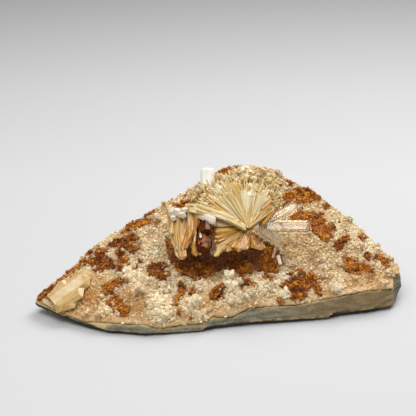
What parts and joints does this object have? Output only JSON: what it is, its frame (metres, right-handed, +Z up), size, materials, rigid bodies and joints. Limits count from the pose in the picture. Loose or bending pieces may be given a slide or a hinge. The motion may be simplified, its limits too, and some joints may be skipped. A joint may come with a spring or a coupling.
{
  "type": "mango quartz specimen",
  "caption": "Mineral specimen: a wedge of slate crusted with drusy quartz and rusty limonite, with one spray of yellow and clear quartz points, resting flat for display.",
  "frame": {"origin": "on the surface that the specimen stands on, under the middle of its bounding box", "axes": "+X along the specimen towards its blunt end, +Y away from the crystal face's lower edge, +Z up"},
  "size_m": [0.15, 0.078, 0.0471],
  "materials": {
    "slate": "matt grey-green cleaved slate with a yellow-brown stain",
    "drusy_quartz": "sparkling cream crust of small quartz points",
    "limonite": "rough earthy rust brown, orange on its edges",
    "mango_quartz": "glossy points, yellow and milky inside to water clear",
    "pale_quartz": "glossy pale yellow translucent crystal faces",
    "milky_quartz": "milky white crystal with a soft gloss"
  },
  "bodies": {
    "root": {"slate_matrix": "slate", "quartz_crust": "drusy_quartz", "mango_quartz_spray": "mango_quartz", "pale_crystal_group": "pale_quartz", "white_crystal": "milky_quartz", "limonite_above_fingers": "limonite", "limonite_front_left_streak": "limonite", "limonite_front_middle": "limonite", "limonite_front_right": "limonite", "limonite_front_streak": "limonite", "limonite_hollow_floor_left": "limonite", "limonite_hollow_floor_right": "limonite", "limonite_hollow_left": "limonite", "limonite_hollow_right": "limonite", "limonite_left_inner": "limonite", "limonite_left_large": "limonite", "limonite_left_ridge": "limonite", "limonite_left_rim": "limonite", "limonite_left_tip": "limonite", "limonite_left_upper": "limonite", "limonite_lower_left": "limonite", "limonite_lower_left_upper": "limonite", "limonite_peak": "limonite", "limonite_right_end": "limonite", "limonite_right_large": "limonite", "limonite_right_lower": "limonite", "limonite_right_mid": "limonite", "limonite_right_rim": "limonite", "limonite_upper_right": "limonite", "limonite_upper_right_small": "limonite"}
  },
  "joints": []
}
